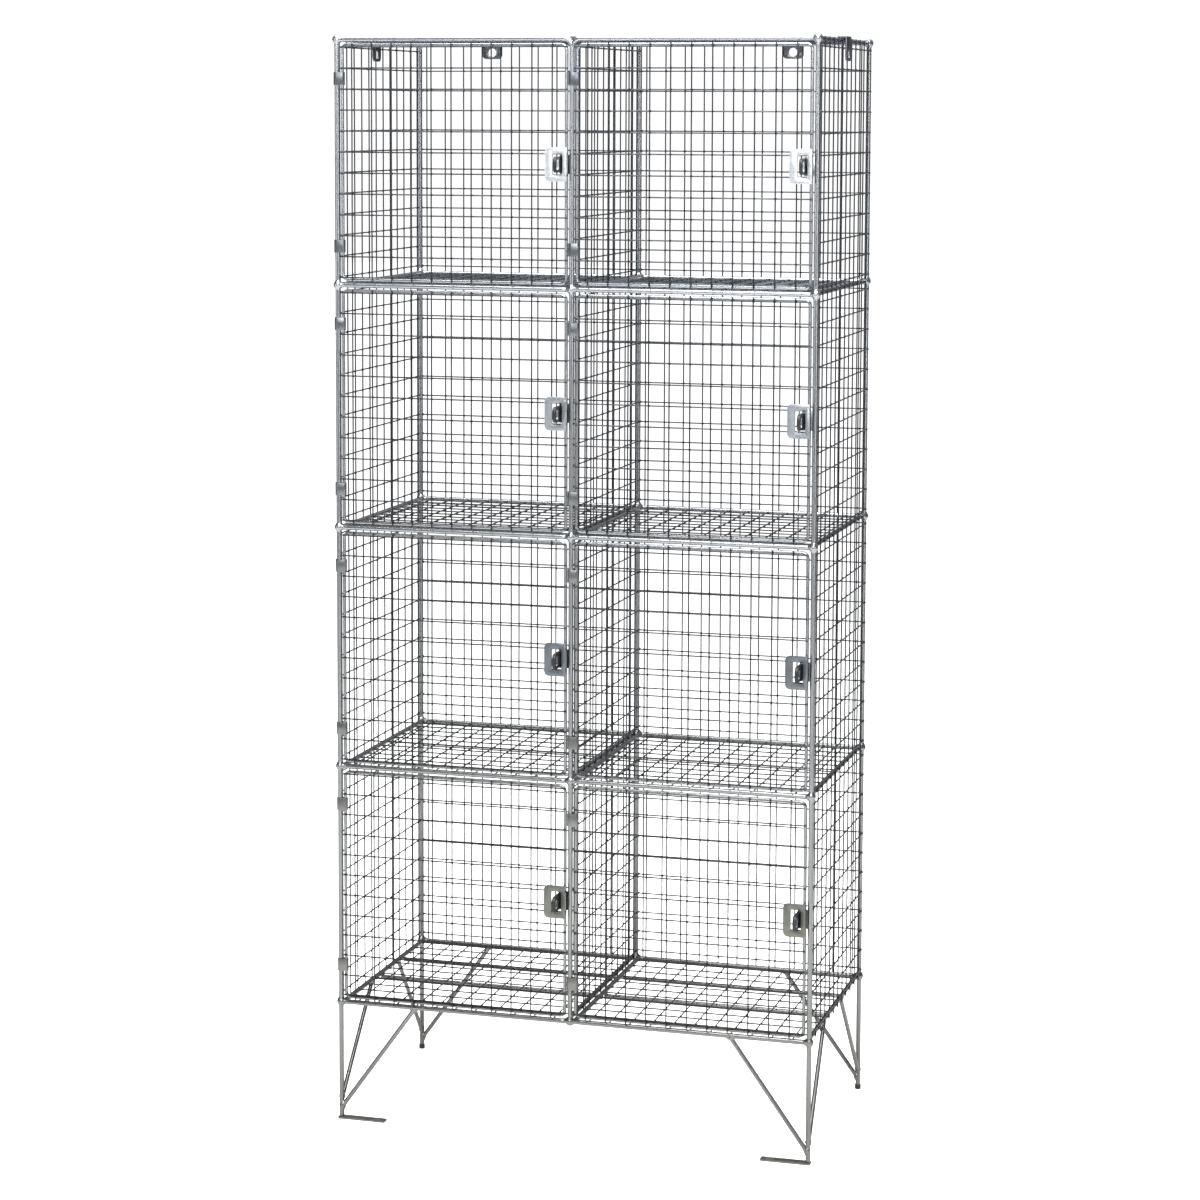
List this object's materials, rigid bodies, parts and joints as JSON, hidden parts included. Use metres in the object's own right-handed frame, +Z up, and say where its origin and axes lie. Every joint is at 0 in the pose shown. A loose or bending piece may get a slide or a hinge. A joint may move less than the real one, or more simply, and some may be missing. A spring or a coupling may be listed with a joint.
{
  "type": "locker cabinet",
  "caption": "Free-standing wire-mesh locker cabinet of welded rod: two columns of lockers with hinged mesh doors, slotted latch plates, padlock staples, mesh shelves, braced legs and wall tabs.",
  "frame": {"origin": "on the floor, midway between the slots of the two front feet, directly under the line of the front posts", "axes": "+Z up; -Y out of the front of the cabinet, the way the doors open; +X towards the right-hand column seen from the front"},
  "size_m": [0.896, 0.486, 1.988],
  "materials": {
    "zinc_rod": "bright zinc plate on round steel rod",
    "zinc_wire": "bright zinc plate on drawn steel wire",
    "zinc_plate": "zinc plate on pressed sheet steel",
    "dark_staple": "near-black satin coating",
    "black_cap": "moulded black plastic"
  },
  "bodies": {
    "cabinet": {"post_front_left": "zinc_rod", "post_front_right": "zinc_rod", "post_rear_left": "zinc_rod", "post_rear_right": "zinc_rod", "divider_post_front": "zinc_rod", "divider_post_rear": "zinc_rod", "header_rails": "zinc_rod", "floor_frame": "zinc_rod", "lower_shelf_frame": "zinc_rod", "middle_shelf_frame": "zinc_rod", "upper_shelf_frame": "zinc_rod", "roof_frame": "zinc_rod", "floor_mesh": "zinc_wire", "lower_shelf_mesh": "zinc_wire", "middle_shelf_mesh": "zinc_wire", "upper_shelf_mesh": "zinc_wire", "roof_mesh": "zinc_wire", "side_mesh_left": "zinc_wire", "side_mesh_right": "zinc_wire", "divider_mesh": "zinc_wire", "rear_mesh": "zinc_wire", "leg_braces": "zinc_rod", "floor_stiffeners": "zinc_rod", "front_feet": "zinc_plate", "rear_leg_caps": "black_cap", "wall_tabs": "zinc_plate", "lock_staples": "dark_staple"},
    "door_left_bottom": {"door_left_bottom_frame": "zinc_rod", "door_left_bottom_mesh": "zinc_wire", "door_left_bottom_latch_plate": "zinc_plate", "door_left_bottom_hinge_clips": "zinc_plate"},
    "door_left_lower": {"door_left_lower_frame": "zinc_rod", "door_left_lower_mesh": "zinc_wire", "door_left_lower_latch_plate": "zinc_plate", "door_left_lower_hinge_clips": "zinc_plate"},
    "door_left_upper": {"door_left_upper_frame": "zinc_rod", "door_left_upper_mesh": "zinc_wire", "door_left_upper_latch_plate": "zinc_plate", "door_left_upper_hinge_clips": "zinc_plate"},
    "door_left_top": {"door_left_top_frame": "zinc_rod", "door_left_top_mesh": "zinc_wire", "door_left_top_latch_plate": "zinc_plate", "door_left_top_hinge_clips": "zinc_plate"},
    "door_right_bottom": {"door_right_bottom_frame": "zinc_rod", "door_right_bottom_mesh": "zinc_wire", "door_right_bottom_latch_plate": "zinc_plate", "door_right_bottom_hinge_clips": "zinc_plate"},
    "door_right_lower": {"door_right_lower_frame": "zinc_rod", "door_right_lower_mesh": "zinc_wire", "door_right_lower_latch_plate": "zinc_plate", "door_right_lower_hinge_clips": "zinc_plate"},
    "door_right_upper": {"door_right_upper_frame": "zinc_rod", "door_right_upper_mesh": "zinc_wire", "door_right_upper_latch_plate": "zinc_plate", "door_right_upper_hinge_clips": "zinc_plate"},
    "door_right_top": {"door_right_top_frame": "zinc_rod", "door_right_top_mesh": "zinc_wire", "door_right_top_latch_plate": "zinc_plate", "door_right_top_hinge_clips": "zinc_plate"}
  },
  "joints": [
    {"name": "door_left_bottom_hinge", "type": "hinge", "parent": "cabinet", "child": "door_left_bottom", "pos_m": [-0.44, 0, 0.44], "axis": [0, 0, -1], "range_deg": [0, 180]},
    {"name": "door_left_lower_hinge", "type": "hinge", "parent": "cabinet", "child": "door_left_lower", "pos_m": [-0.44, 0, 0.88], "axis": [0, 0, -1], "range_deg": [0, 180]},
    {"name": "door_left_upper_hinge", "type": "hinge", "parent": "cabinet", "child": "door_left_upper", "pos_m": [-0.44, 0, 1.32], "axis": [0, 0, -1], "range_deg": [0, 180]},
    {"name": "door_left_top_hinge", "type": "hinge", "parent": "cabinet", "child": "door_left_top", "pos_m": [-0.44, 0, 1.76], "axis": [0, 0, -1], "range_deg": [0, 180]},
    {"name": "door_right_bottom_hinge", "type": "hinge", "parent": "cabinet", "child": "door_right_bottom", "pos_m": [0, 0, 0.44], "axis": [0, 0, -1], "range_deg": [0, 90]},
    {"name": "door_right_lower_hinge", "type": "hinge", "parent": "cabinet", "child": "door_right_lower", "pos_m": [0, 0, 0.88], "axis": [0, 0, -1], "range_deg": [0, 90]},
    {"name": "door_right_upper_hinge", "type": "hinge", "parent": "cabinet", "child": "door_right_upper", "pos_m": [0, 0, 1.32], "axis": [0, 0, -1], "range_deg": [0, 90]},
    {"name": "door_right_top_hinge", "type": "hinge", "parent": "cabinet", "child": "door_right_top", "pos_m": [0, 0, 1.76], "axis": [0, 0, -1], "range_deg": [0, 90]}
  ]
}
